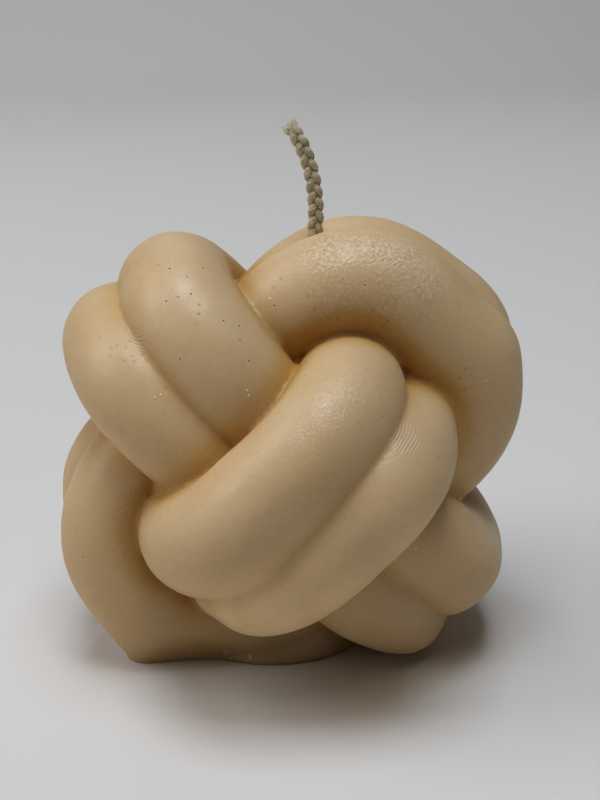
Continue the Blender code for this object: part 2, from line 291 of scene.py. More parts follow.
class Value:
    """A socket that Python's own signs work on. Each sign adds its Math or Vector Math node."""

    def __init__(self, plan, socket):
        self.plan = plan
        self.socket = socket

    def other(self, output):
        """Another output of the same node."""
        return Value(self.plan, self.socket.node.outputs[output])

    def __add__(self, term):
        return self.plan.maths("ADD", self, term)

    def __radd__(self, term):
        return self.plan.maths("ADD", term, self)

    def __sub__(self, term):
        return self.plan.maths("SUBTRACT", self, term)

    def __rsub__(self, term):
        return self.plan.maths("SUBTRACT", term, self)

    def __mul__(self, term):
        return self.plan.maths("MULTIPLY", self, term)

    def __rmul__(self, term):
        return self.plan.maths("MULTIPLY", self, term)

    def __truediv__(self, term):
        return self.plan.maths("DIVIDE", self, term)

    def __rtruediv__(self, term):
        return self.plan.maths("DIVIDE", term, self)

    def __pow__(self, term):
        return self.plan.maths("POWER", self, term)

    def __neg__(self):
        return self.plan.maths("MULTIPLY", self, -1.0)

    def __abs__(self):
        return self.plan.maths("ABSOLUTE", self)


def in_metres(place):
    """A place or a push in metres, from millimetres."""
    return tuple(part * MILLIMETRE for part in place)


def is_vector(term):
    """Whether a term of a sum is a vector, as a socket or as three numbers."""
    if isinstance(term, Value):
        return term.socket.type == "VECTOR"
    return isinstance(term, (tuple, Vector))


class Plan:
    """A node tree being laid out, column by column."""

    COLUMN_WIDTH = 190
    ROW_HEIGHT = 170

    def __init__(self, tree):
        self.tree = tree
        self.rows = {}
        self.columns = {}

    def feed(self, socket, value):
        """Links a value to a socket, or sets the number, colour, name or material that it holds."""
        if isinstance(value, Value):
            self.tree.links.new(value.socket, socket)
        elif socket.type == "RGBA" and len(value) == 3:
            socket.default_value = (*value, 1.0)
        else:
            socket.default_value = value

    def node(self, kind, settings=None, sockets=None, output=0):
        """Adds a node: its settings first, then the values or links of its sockets."""
        made = self.tree.nodes.new(kind)
        for name, setting in (settings or {}).items():
            if name == "stops":
                self.set_stops(made.color_ramp, setting)
            else:
                setattr(made, name, setting)
        column = 0
        for key, value in (sockets or {}).items():
            if isinstance(value, Value):
                column = max(column, self.columns[value.socket.node.name] + 1)
            self.feed(made.inputs[key], value)
        self.columns[made.name] = column
        row = self.rows.get(column, 0)
        self.rows[column] = row + 1
        made.location = (column * self.COLUMN_WIDTH, -row * self.ROW_HEIGHT)
        return Value(self, made.outputs[output]) if len(made.outputs) > 0 else None

    def set_stops(self, ramp, stops):
        """Sets a colour ramp's stops, each a place and a colour."""
        for place, colour in stops[2:]:
            ramp.elements.new(place)
        for stop, (place, colour) in zip(ramp.elements, stops):
            stop.position = place
            stop.color = (*colour, 1.0)

    def maths(self, operation, *terms):
        """A Math node, or a Vector Math node where a term is a vector."""
        sockets = dict(enumerate(terms))
        if not any(is_vector(term) for term in terms):
            return self.node("ShaderNodeMath", {"operation": operation}, sockets)
        if operation == "MULTIPLY" and not all(is_vector(term) for term in terms):
            vector, factor = sorted(terms, key=is_vector, reverse=True)
            return self.node("ShaderNodeVectorMath", {"operation": "SCALE"}, {0: vector, 3: factor})
        output = 1 if operation in ("LENGTH", "DISTANCE", "DOT_PRODUCT") else 0
        return self.node("ShaderNodeVectorMath", {"operation": operation}, sockets, output)

    def vector(self, x, y, z):
        """Three numbers as one vector."""
        return self.node("ShaderNodeCombineXYZ", None, {0: x, 1: y, 2: z})

    def parts(self, vector):
        """The three numbers of a vector."""
        split = self.node("ShaderNodeSeparateXYZ", None, {0: vector})
        return split, split.other(1), split.other(2)

    def noise(self, place, scale, detail=2.0, roughness=0.5):
        """Soft noise about 0.5, its features 1 / scale across."""
        sockets = {"Vector": place, "Scale": scale, "Detail": detail, "Roughness": roughness}
        return self.node("ShaderNodeTexNoise", None, sockets)

    def scatter(self, place, spacing):
        """Distance to the nearest of randomly scattered spots."""
        sockets = {"Vector": place, "Scale": 1 / spacing}
        return self.node("ShaderNodeTexVoronoi", None, sockets) * spacing

    def ease(self, value, start, end, low=0.0, high=1.0):
        """A smooth step from low at start to high at end."""
        sockets = {0: value, 1: start, 2: end, 3: low, 4: high}
        return self.node("ShaderNodeMapRange", {"interpolation_type": "SMOOTHSTEP"}, sockets)

    def mix(self, factor, first, second):
        """A colour between two colours."""
        settings = {"data_type": "RGBA", "clamp_factor": True}
        return self.node("ShaderNodeMix", settings, {0: factor, 6: first, 7: second}, 2)

    def near(self, place, spot, reach):
        """1 at a spot, falling off over its reach."""
        away = self.maths("DISTANCE", place, spot) / reach
        return self.maths("EXPONENT", -(away * away))

    def joined(self, *geometries):
        """Several geometries as one."""
        whole = self.node("GeometryNodeJoinGeometry", None, {0: geometries[0]})
        for geometry in geometries[1:]:
            self.feed(whole.socket.node.inputs[0], geometry)
        return whole

    def nearest(self, place, spots):
        """Distance to the nearest of some spots."""
        away = self.maths("DISTANCE", place, spots[0])
        for spot in spots[1:]:
            away = self.maths("MINIMUM", away, self.maths("DISTANCE", place, spot))
        return away

    def patches(self, place, spots):
        """How strongly a place lies in any of some soft patches."""
        share = 0.0
        for spot, reach, strength in spots:
            share = self.maths("MAXIMUM", share, self.near(place, spot, reach) * strength)
        return share


def own_properties(sizes):
    """A property group's own properties."""
    return [item for item in sizes.bl_rna.properties if item.identifier not in ("rna_type", "name")]


def size_sockets(tree, sizes):
    """Gives a tree one named input for each size of a property group."""
    for item in own_properties(sizes):
        socket = tree.interface.new_socket(item.name, in_out="INPUT", socket_type="NodeSocketFloat")
        socket.description = item.description
        socket.default_value = item.default


def size_values(plan, sizes):
    """The tree's size inputs as values, by the property's name."""
    group_input = plan.node("NodeGroupInput")
    return {item.identifier: group_input.other(item.name) for item in own_properties(sizes)}


def shape_tree(name, sizes, more_inputs=()):
    """An empty geometry tree that takes a property group's sizes and gives a geometry."""
    tree = bpy.data.node_groups.new(name, "GeometryNodeTree")
    tree.interface.new_socket("Geometry", in_out="OUTPUT", socket_type="NodeSocketGeometry")
    for label, kind in more_inputs:
        tree.interface.new_socket(label, in_out="INPUT", socket_type=kind)
    size_sockets(tree, sizes)
    return tree


def stored(plan, geometry, name, value):
    """Keeps a value on the points of a geometry under a name."""
    kind = "FLOAT_VECTOR" if is_vector(value) else "FLOAT"
    settings = {"data_type": kind, "domain": "POINT"}
    return plan.node("GeometryNodeStoreNamedAttribute", settings, {0: geometry, 2: name, 3: value})


def kept(plan, name, kind="FLOAT"):
    """A value that was kept on the points of a geometry."""
    return plan.node("GeometryNodeInputNamedAttribute", {"data_type": kind}, {0: name})


def moved(plan, geometry, place):
    """A geometry with its points at other places."""
    return plan.node("GeometryNodeSetPosition", None, {0: geometry, 2: place})


def blurred(plan, value, rounds):
    """A value on a mesh, evened out with its neighbours a few times."""
    kind = "FLOAT_VECTOR" if is_vector(value) else "FLOAT"
    return plan.node("GeometryNodeBlurAttribute", {"data_type": kind}, {"Value": value, "Iterations": rounds})


def placed(name, data):
    """A new object in the scene."""
    item = bpy.data.objects.new(name, data)
    bpy.context.scene.collection.objects.link(item)
    return item


def baked(name, tree, values):
    """Runs a geometry tree with named values and keeps what it makes as a plain mesh object."""
    item = placed(name, bpy.data.meshes.new(name + "_start"))
    modifier = item.modifiers.new("shape", "NODES")
    modifier.node_group = tree
    for socket in tree.interface.items_tree:
        if socket.item_type == "SOCKET" and socket.in_out == "INPUT":
            modifier[socket.identifier] = values[socket.name]
    shaped = item.evaluated_get(bpy.context.evaluated_depsgraph_get())
    mesh = bpy.data.meshes.new_from_object(shaped)
    item.modifiers.clear()
    item.data = mesh
    mesh.name = name
    return item


def named_values(sizes):
    """A property group's present sizes, by the names that the tree's inputs have."""
    return {item.name: getattr(sizes, item.identifier) for item in own_properties(sizes)}


# Sizes and colours


def length(name, default, description):
    return FloatProperty(
        name=name, description=description, default=default, subtype="DISTANCE", unit="LENGTH", precision=5
    )


def angle(name, default, description):
    return FloatProperty(
        name=name, description=description, default=math.radians(default), subtype="ANGLE", unit="ROTATION"
    )


def ratio(name, default, description):
    return FloatProperty(name=name, description=description, default=default, precision=3)


def colour(name, default, description):
    return FloatVectorProperty(
        name=name, description=description, default=default, subtype="COLOR", size=3, min=0.0, max=1.0
    )


class KnotSizes(PropertyGroup):
    """Sizes of the cast knot."""

    half_length: length("Ring half length", 0.0332, "Half the length of a ring's centre line")
    half_width: length("Ring half width", 0.0188, "Half the width of a ring's centre line")
    squareness: ratio("Ring squareness", 3.15, "Power of the ring's outline; 2 is an ellipse")
    upright_shift: length("Upright ring shift", 0.0016, "How far forward of the middle the upright ring lies")
    strand_radius: length("Strand radius", 0.0088, "Radius of a strand")
    strand_swell: length("Strand swell", 0.00075, "How much thicker a strand is at the ring's ends")
    pair_spacing: length("Pair half spacing", 0.00605, "Half the distance between a ring's two strands")
    pair_spread: length("Pair spread", 0.0001, "How much further apart the two are at the ring's ends")
    settled_ratio: ratio("Settled width", 1.017, "How much wider the warm casting settles")
    heart_radius: length("Heart radius", 0.0279, "Radius of the ball of wax inside the rings")
    centre_height: length("Centre height", 0.0356, "Height of the knot's centre over the table")
    foot_radius: length("Foot radius", 0.0182, "Radius of the pouring foot at the table")
    foot_draft: ratio("Foot draft", 0.156, "How much the foot draws in with its height")
    foot_x: length("Foot X", -0.0024, "Middle of the foot, to the right")
    foot_y: length("Foot Y", 0.0030, "Middle of the foot, to the back")
    widest: length("Half width", cad_high[0], "Half the width that the casting keeps within")
    deepest: length("Half depth", cad_high[1], "Half the depth that the casting keeps within")
    skirt: length("Settled skirt", 0.0011, "Height up to which the wax stands straight on the table")
    melt: length("Groove melt", 0.0009, "How softly the strands melt into each other")
    cut_round: length("Cut rounding", 0.0006, "How much the cut edge at the table is rounded")
    unevenness: length("Unevenness", 0.00016, "How far the cast skin wanders from the true form")
    grid: length("Skin grid", 0.00118, "Width of the grid cells that the skin is laid in")


class WickSizes(PropertyGroup):
    """Sizes of the wick."""

    exit_x: length("Exit X", 0.0047, "Where the wick leaves the wax, to the right")
    exit_y: length("Exit Y", -0.0016, "Where the wick leaves the wax, to the back")
    exit_height: length("Exit height", 0.07098, "Height at which the wick leaves the wax")
    foot_recess: length("Foot recess", 0.0005, "Height of the wick's cut lower end over the table")
    stub_length: length("Stub length", 0.02103, "Length of the wick over the wax, without its frayed tip")
    lean: angle("Lean", 4.0, "Lean of the wick to the right inside the wax")
    stub_lean: angle("Stub lean", 3.2, "How much more the wick leans over the wax than in it")
    bend: angle("Bend", -43.0, "How much the lean changes up to the tip")
    bend_ease: ratio("Bend ease", 1.44, "How late the bend comes; 1 is even")
    plait_width: length("Plait half width", 0.00070, "How far a strand swings sideways")
    plait_depth: length("Plait half depth", 0.00056, "How far a strand swings forwards and back")
    plait_pitch: length("Plait pitch", 0.0064, "Length in which a strand comes back to its place")
    yarn_radius: length("Yarn radius", 0.00062, "Radius of a strand of yarn")
    ply_depth: ratio("Ply depth", 0.09, "Depth of the furrows between a yarn's plies")
    ply_pitch: length("Ply pitch", 0.0021, "Length in which the plies turn once")
    fibre_length: length("Fibre length", 0.0006, "Length of the stray fibres")
    fibre_radius: length("Fibre radius", 0.000016, "Radius of the stray fibres")
    fibre_density: ratio("Fibre density", 1.6, "Stray fibres on each square millimetre of yarn")
    tuft_length: length("Tuft length", 0.0010, "Length of the frayed ends at the tip")
    tuft_radius: length("Tuft radius", 0.00004, "Radius of the frayed ends at the tip")
    tuft_density: ratio("Tuft density", 60.0, "Frayed ends on each square millimetre of the cut tip")


class CandleFinish(PropertyGroup):
    """Colours of the wax and the wick."""

    wax: colour("Wax", (0.585, 0.415, 0.235), "Cream of the wax")
    # Painted shade: the colour the wax is given in its hollows and creases, in place of their shade
    painted_groove_shade: colour("Groove", (0.46, 0.27, 0.06), "Warmer wax in the hollows")
    # Painted shade, deep orange like light glowing through the wax, at the bottom of the grooves
    depth: colour("Depth", (0.42, 0.19, 0.015), "Glowing wax deep in the grooves")
    # Duller wax of drops' prints and pits, and also the colour of the painted shade at the foot, low down and
    # in a crease
    bruise_and_painted_shade: colour("Bruise", (0.30, 0.20, 0.11), "Duller wax of drops' prints and pits")
    # Painted light: paler wax where light falls on the underside and front of the lower front strand
    painted_light: colour("Bloom", (0.82, 0.61, 0.37), "Paler bloom on the wax")
    pinhole: colour("Pinhole", (0.10, 0.06, 0.03), "Open pinholes of trapped air")
    scuff_and_highlight: colour("Scuff", (0.80, 0.74, 0.64), "Pale scuffs and specks of wax dust")
    # Pale scuffs and specks of dust, and also the colour of the painted highlights on the lower right ridge
    # and shoulder
    cotton: colour("Cotton", (0.54, 0.45, 0.33), "Waxed cotton of the wick")
    cotton_dull: colour("Dull cotton", (0.38, 0.35, 0.23), "Duller patches of the wick")
    cotton_tip: colour("Dry tip", (0.88, 0.84, 0.72), "Dry, frayed cotton at the tip")
    cotton_base: colour("Soaked base", (0.50, 0.32, 0.14), "Wick soaked with wax at its base")


class StageLook(PropertyGroup):
    """The floor and the lamps."""

    floor: colour("Floor", (0.69, 0.69, 0.715), "Pale paper under the candle")
    # Painted light: the paper paler towards the back and up the sweep, in place of the light on it
    far_floor_painted_light: colour("Far floor", (0.96, 0.96, 0.99), "Paler paper further back")
    bounce: colour("Floor's return", (0.62, 0.57, 0.49), "Light that the floor sends back to the candle")
    backdrop: colour("Backdrop", (0.45, 0.45, 0.46), "Ground seen beyond the paper")
    surround: ratio("Surround light", 0.015, "Strength of the light from all round")
    key: ratio("Key lamps", 1.0, "Strength of the lamps over the candle and in front")
    fill: ratio("Fill lamps", 1.0, "Strength of the lamps to the left and behind")


# Wax


def ring_loop(plan, size):
    """The ring's centre line as a loop of short edges round the origin, level."""
    loop = plan.node("GeometryNodeMeshCircle", {"fill_type": "NONE"}, {0: OUTLINE_POINTS, 1: 1.0})
    turn = plan.node("GeometryNodeInputIndex") * (2 * math.pi / OUTLINE_POINTS)
    power = 2.0 / size["squareness"]
    reaches = []
    for wave, reach in (("COSINE", size["half_length"]), ("SINE", size["half_width"])):
        swing = plan.maths(wave, turn)
        reaches.append(reach * plan.maths("SIGN", swing) * abs(swing) ** power)
    place = plan.vector(reaches[0], reaches[1], 0.0)
    return moved(plan, loop, place)


def worked(plan, place, ring, side):
    """A place as the even rings have it, with one strand's touches taken back, and its swell."""
    swell = 0.0
    start = place
    touches = [(*touch, WORK_REACH) for touch in PATTERN_WORK]
    for work_ring, work_side, spot, push, more, reach in (*touches, *FINE_WORK):
        if (work_ring, work_side) != (ring, side):
            continue
        share = plan.near(start, in_metres(spot), reach * MILLIMETRE)
        place = place - share * in_metres(push)
        swell = share * (more * MILLIMETRE) + swell
    return place, swell


def knot_axes(plan, place, size):
    """A standing place along the knot's own three axes, which the rings lie square to."""
    x, y, z = plan.parts(place)
    right = x / size["settled_ratio"] * HALF_ROOT
    up = (z - size["centre_height"]) * HALF_ROOT
    return -y, up + right, up - right


def strand_distance(plan, place, size, loop, ring, side):
    """Distance from one strand: ring 0, 1 or 2 of the knot, on one side of the ring's plane."""
    place, swell = worked(plan, place, ring, side)
    axes = knot_axes(plan, place, size)
    along, across, aside = axes[ring:] + axes[:ring]
    if ring == UPRIGHT_RING:
        aside = aside - size["upright_shift"]
    sample = plan.vector(along, across, 0.0)
    nearest = plan.node(
        "GeometryNodeProximity", {"target_element": "EDGES"}, {"Geometry": loop, "Sample Position": sample}
    )
    flat_distance = nearest.other(1)
    near_along, near_across, _ = plan.parts(nearest)
    ahead = near_along * near_along
    beside = near_across * near_across
    endwards = (ahead - beside) / (ahead + beside)
    radius = size["strand_radius"] + size["strand_swell"] * endwards + swell
    off = aside - (size["pair_spacing"] + size["pair_spread"] * endwards) * side
    return plan.maths("SQRT", flat_distance * flat_distance + off * off) - radius


def heart_distance(plan, place, size):
    """Distance from the heart, which falls back where a gap between the strands shows it."""
    centred = plan.vector(*knot_axes(plan, place, size))
    away = plan.maths("LENGTH", centred) - size["heart_radius"]
    for spot, reach, depth in HEART_HOLLOWS:
        share = plan.near(place, in_metres(spot), reach * MILLIMETRE)
        away = away + share * (depth * MILLIMETRE)
    return away


def foot_distance(plan, place, size):
    """Distance from the pouring foot, which draws in upwards and ends inside the heart."""
    x, y, z = plan.parts(place)
    flat_place = plan.vector(x - size["foot_x"], y - size["foot_y"], 0.0)
    wall = plan.maths("LENGTH", flat_place) - size["foot_radius"] + size["foot_draft"] * z
    return plan.maths("MAXIMUM", wall, z - size["centre_height"] * FOOT_REACH)


def knot_distance_tree(sizes):
    """A tree for the distance of a place from the wax, and from the second nearest form in it."""
    tree = bpy.data.node_groups.new("knot_distance", "GeometryNodeTree")
    tree.interface.new_socket("Place", in_out="INPUT", socket_type="NodeSocketVector")
    size_sockets(tree, sizes)
    for label in ("Distance", "Second"):
        tree.interface.new_socket(label, in_out="OUTPUT", socket_type="NodeSocketFloat")
    plan = Plan(tree)
    size = size_values(plan, sizes)
    x, y, z = plan.parts(plan.node("NodeGroupInput", output="Place"))
    place = plan.vector(x, y, plan.maths("SMOOTH_MAX", z, size["skirt"], size["skirt"]))
    loop = ring_loop(plan, size)
    forms = []
    for ring in range(RINGS):
        for side in (1, -1):
            forms.append(strand_distance(plan, place, size, loop, ring, side))
    forms.append(heart_distance(plan, place, size))
    forms.append(foot_distance(plan, place, size))
    melted, nearest, second = forms[0], forms[0], 1.0
    for form in forms[1:]:
        melted = plan.maths("SMOOTH_MIN", melted, form, size["melt"])
        second = plan.maths("MINIMUM", second, plan.maths("MAXIMUM", nearest, form))
        nearest = plan.maths("MINIMUM", nearest, form)
    broad = plan.noise(place, BROAD_WANDER, 1.0)
    close = plan.noise(place, CLOSE_WANDER, 1.0) * CLOSE_SHARE
    wander = broad + close - 0.5 * (1.0 + CLOSE_SHARE)
    melted = melted + wander * size["unevenness"] * 2.0
    beyond = plan.maths("MAXIMUM", abs(x) - size["widest"], abs(y) - size["deepest"])
    melted = plan.maths("SMOOTH_MAX", melted, beyond, size["melt"])
    cut = plan.maths("SMOOTH_MAX", melted, -z, size["cut_round"])
    plan.node("NodeGroupOutput", None, {"Distance": cut, "Second": second})
    return tree


def casting_tree(sizes, finish):
    """The tree that lays the wax's skin: a grid of distances, its zero surface, then fine steps onto it."""
    corner_inputs = [("Low corner", "NodeSocketVector"), ("High corner", "NodeSocketVector")]
    tree = shape_tree("knot_casting", sizes, corner_inputs)
    distance_tree = knot_distance_tree(sizes)
    plan = Plan(tree)
    size = size_values(plan, sizes)
    corners = plan.node("NodeGroupInput", output="Low corner")
    low, high = corners, corners.other("High corner")
    size_by_name = {item.name: size[item.identifier] for item in own_properties(sizes)}

    def measured(ahead=0.0):
        place = plan.node("GeometryNodeInputPosition") + plan.node("GeometryNodeInputNormal") * ahead
        sockets = {"Place": place, **size_by_name}
        return plan.node("GeometryNodeGroup", {"node_tree": distance_tree}, sockets)

    counts = plan.parts((high - low) / plan.vector(size["grid"], size["grid"], size["grid"]))
    grid = {0: measured() * (-1 / MILLIMETRE), 1: GRID_BACKGROUND, 2: low, 3: high}
    grid.update({4 + axis: count for axis, count in enumerate(counts)})
    volume = plan.node("GeometryNodeVolumeCube", None, grid)
    surface = {"Volume": volume, "Threshold": 0.0, "Adaptivity": 0.0}
    skin = plan.node("GeometryNodeVolumeToMesh", None, surface)
    skin = plan.node("GeometryNodeSubdivideMesh", None, {0: skin, 1: 1})
    for step_number in range(SKIN_STEPS):
        if step_number == SKIN_STEPS // 2:
            skin = moved(plan, skin, blurred(plan, plan.node("GeometryNodeInputPosition"), 1))
        inwards = plan.node("GeometryNodeInputNormal") * -1.0
        skin = plan.node("GeometryNodeSetPosition", None, {0: skin, 3: inwards * measured()})
    gap = measured().other("Second") / MILLIMETRE
    hollow = 0.0
    for ahead in HOLLOW_LOOKS:
        hollow = hollow + plan.maths("MAXIMUM", 1.0 - measured(ahead) / ahead, 0.0) / len(HOLLOW_LOOKS)
    # The gap and the hollow of each point set where the wax gets its painted shade
    skin = stored(plan, skin, "gap", gap)
    skin = stored(plan, skin, "hollow", blurred(plan, hollow, HOLLOW_BLUR))
    skin = plan.node("GeometryNodeSetShadeSmooth", None, {0: skin, 2: True})
    skin = plan.node("GeometryNodeRealizeInstances", None, {0: skin})
    skin = plan.node("GeometryNodeSetMaterial", None, {0: skin, 2: finish})
    plan.node("NodeGroupOutput", None, {0: skin})
    return tree


def shader_plan(name):
    """A new material with an empty shader tree."""
    material = bpy.data.materials.new(name)
    material.use_nodes = True
    material.node_tree.nodes.clear()
    return material, Plan(material.node_tree)


def finish_with(plan, constants, varying):
    """Ends a material's tree in a Principled shader."""
    shader = plan.node("ShaderNodeBsdfPrincipled", None, {**constants, **varying})
    plan.node("ShaderNodeOutputMaterial", None, {0: shader})


def cream_wax(look):
    """Cast wax: cream, with painted shade in orange-brown in its hollows and creases, patches of painted
    light and painted highlight, and pinholes, prints of drops, layer lines and grain.
    """
    material, plan = shader_plan("cream_wax")
    place = plan.node("ShaderNodeTexCoord", output="Object") * (1 / MILLIMETRE)
    gap = plan.node("ShaderNodeAttribute", {"attribute_name": "gap"}, output="Fac")
    hollow = plan.node("ShaderNodeAttribute", {"attribute_name": "hollow"}, output="Fac")
    cloud = plan.noise(place, 0.09, 2.0)
    mottle = plan.noise(place, 0.8, 2.0)
    fine = plan.noise(place, 2.6, 2.0)

    # Marks that the photographed side shows, and a thin scatter of the same marks at the back
    _, back, _ = plan.parts(place)
    behind = plan.ease(back, -7.0, 1.0)
    sparse = plan.scatter(place, BACK_HOLE_SPACING)
    scattered = plan.scatter(place, BACK_DROP_SPACING)
    clusters = plan.ease(plan.noise(place, 0.06, 1.0), 0.52, 0.62)
    holes = plan.nearest(place, PINHOLES)
    back_holes = plan.ease(sparse, 0.1, 0.22, 1.0, 0.0) * behind
    holes = plan.maths("MAXIMUM", plan.ease(holes, 0.1, 0.22, 1.0, 0.0), back_holes)
    rims = plan.ease(plan.nearest(place, PINHOLES), 0.22, 0.5, 1.0, 0.0) - holes
    faint = plan.ease(plan.nearest(place, FAINT_HOLES), 0.12, 0.34, 1.0, 0.0)
    drops = plan.ease(plan.nearest(place, DROPS), 0.15, 0.5, 1.0, 0.0) * plan.ease(mottle, 0.2, 0.6, 0.5, 1.0)
    drops = plan.maths("MAXIMUM", drops, plan.ease(scattered, 0.2, 0.5, 1.0, 0.0) * clusters * behind)
    specks = plan.ease(plan.nearest(place, SPECKS), 0.1, 0.3, 1.0, 0.0)

    # Texture of the skin
    wave = plan.maths("DOT_PRODUCT", place, LAYER_AXIS) / LAYER_STEP + plan.noise(place, 0.5, 1.0) * 1.2
    lines = plan.maths("SINE", wave * (2 * math.pi))
    layers = plan.maths("MAXIMUM", plan.patches(place, LAYER_PATCHES), plan.ease(cloud, 0.45, 0.7, 0.0, 0.25))
    terraces = 0.0
    for middle, spacing, spot, reach, strength in TERRACES:
        arcs = plan.maths("DISTANCE", place, middle) / spacing + plan.noise(place, 0.4, 1.0)
        rises = plan.maths("SINE", arcs * (2 * math.pi))
        terraces = rises * plan.near(place, spot, reach) * strength + terraces
    pits = plan.patches(place, PEEL_PATCHES)
    peel = plan.noise(place, 1.9, 1.5)
    grain = plan.maths("MAXIMUM", plan.patches(place, GRAIN_PATCHES), 0.22)

    # Painted shade: the wax turns darker and warmer the more hollow it lies and the nearer a crease is
    tone = plan.mix(plan.ease(hollow, 0.0, 0.7, 0.0, 0.9), look.wax, look.painted_groove_shade)
    tone = plan.mix(plan.maths("EXPONENT", gap * -1.3) * 0.35, tone, look.painted_groove_shade)
    # Painted shade and painted glow deep in the grooves
    tone = plan.mix(plan.ease(hollow, 0.5, 0.9) * plan.maths("EXPONENT", gap * -0.35), tone, look.depth)
    # Painted light on the lit lower front strand
    tone = plan.mix(plan.patches(place, PAINTED_LIGHT_PATCHES), tone, look.painted_light)
    # Painted highlight: a broad grey sheen on the lower right shoulder
    tone = plan.mix(plan.patches(place, PAINTED_HIGHLIGHT_PATCHES), tone, look.scuff_and_highlight)
    # Painted shade: darker wax at the foot and low down under the overhang, and in one crease
    tone = plan.mix(plan.patches(place, PAINTED_SHADE_PATCHES), tone, look.bruise_and_painted_shade)
    pale = plan.mix(0.5, tone, look.scuff_and_highlight)
    dull = plan.mix(0.5, tone, look.bruise_and_painted_shade)
    tone = plan.mix(plan.ease(cloud, 0.35, 0.75, 0.0, 0.14), tone, pale)
    tone = plan.mix(plan.ease(mottle, 0.4, 0.75, 0.0, 0.16), tone, dull)
    tone = plan.mix(pits * plan.ease(peel, 0.35, 0.55, 0.8, 0.0), tone, dull)
    tone = plan.mix(pits * plan.ease(peel, 0.5, 0.66, 0.0, 0.9), tone, pale)
    tone = plan.mix(grain * plan.ease(fine, 0.3, 0.45, 0.35, 0.0), tone, dull)
    tone = plan.mix(grain * plan.ease(fine, 0.55, 0.68, 0.0, 0.85), tone, pale)
    tone = plan.mix(layers * plan.ease(lines, 0.0, 1.0, 0.0, 0.45), tone, pale)
    tone = plan.mix(plan.ease(terraces, 0.0, 1.0, 0.0, 0.5), tone, pale)
    tone = plan.mix(plan.ease(terraces, -1.0, 0.0, 0.4, 0.0), tone, dull)
    tone = plan.mix(drops * 0.22, tone, look.pinhole)
    tone = plan.mix(rims * 0.35, tone, pale)
    tone = plan.mix(faint * 0.45, tone, look.pinhole)
    tone = plan.mix(holes * 0.75, tone, look.pinhole)
    tone = plan.mix(specks * 0.7, tone, look.scuff_and_highlight)
    # Painted highlight: a pale streak down the lower right ridge
    tone = plan.mix(plan.ease(plan.nearest(place, PAINTED_RIDGE_HIGHLIGHT), 0.15, 0.5, 0.6, 0.0), tone, look.scuff_and_highlight)

    height = (fine - 0.5) * (grain * 0.12) + (mottle - 0.5) * 0.02 + lines * layers * 0.012 + terraces * 0.02
    height = height + (peel - 0.5) * pits * 0.24 + specks * 0.08
    height = height - holes * 0.15 - faint * 0.04 - drops * 0.02
    bump = plan.node("ShaderNodeBump", None, {"Strength": 1.0, "Distance": MILLIMETRE, "Height": height})
    rough = plan.ease(plan.noise(place, 0.35, 2.0), 0.3, 0.7, 0.38, 0.48)
    rough = rough - plan.near(place, GLOSSY_RIDGE, 3.5) * 0.16
    constants = {"Subsurface Weight": 0.3, "Subsurface Radius": (1.0, 0.55, 0.25), "Subsurface Scale": 0.003}
    finish_with(plan, constants, {"Base Color": tone, "Roughness": rough, "Normal": bump})
    return material


# Wick


def strand_line(plan, size, number):
    """The strand's centre line as a chain of points, and each point's distance over the wax."""
    lower = size["exit_height"] / plan.maths("COSINE", size["lean"])
    whole = lower + size["stub_length"] - size["foot_recess"]
    step = whole / (STRAND_POINTS - 1)
    walked = plan.node("GeometryNodeInputIndex") * step + size["foot_recess"]
    over = walked - lower
    share = plan.maths("MAXIMUM", over, 0.0) / (size["stub_length"] + BEND_OVERRUN)
    freed = plan.ease(over / MILLIMETRE, -1.0, 1.5)
    lean = size["lean"] + size["stub_lean"] * freed + size["bend"] * share ** size["bend_ease"]
    slant, rise = plan.maths("SINE", lean), plan.maths("COSINE", lean)
    run = plan.node("GeometryNodeAccumulateField", None, {0: slant * step}, 1)
    climb = plan.node("GeometryNodeAccumulateField", None, {0: rise * step}, 1)
    foot_x = size["exit_x"] - (lower - size["foot_recess"]) * plan.maths("SINE", size["lean"])
    foot_z = size["exit_height"] - (lower - size["foot_recess"]) * plan.maths("COSINE", size["lean"])
    phase = (walked / size["plait_pitch"] + number / WICK_STRANDS) * (2 * math.pi)
    wide = size["plait_width"] * plan.maths("SINE", phase)
    deep = size["plait_depth"] * plan.maths("SINE", phase * 2.0)
    place = plan.vector(foot_x + run + wide * rise, deep + size["exit_y"], foot_z + climb - wide * slant)
    line = plan.node("GeometryNodeMeshLine", {"mode": "OFFSET"}, {"Count": STRAND_POINTS})
    return moved(plan, line, place), over, walked


def yarn_profile(plan, size):
    """The section of a yarn: round, with a furrow between each two of its plies."""
    sockets = {"Resolution": YARN_SIDES, "Radius": 1.0}
    ring = plan.node("GeometryNodeCurvePrimitiveCircle", {"mode": "RADIUS"}, sockets)
    turn = plan.node("GeometryNodeInputIndex") * (2 * math.pi / YARN_SIDES)
    lobes = plan.maths("COSINE", turn * YARN_PLIES)
    reach = size["yarn_radius"] * (1.0 + size["ply_depth"] * lobes)
    place = plan.vector(reach * plan.maths("COSINE", turn), reach * plan.maths("SINE", turn), 0.0)
    return moved(plan, ring, place)


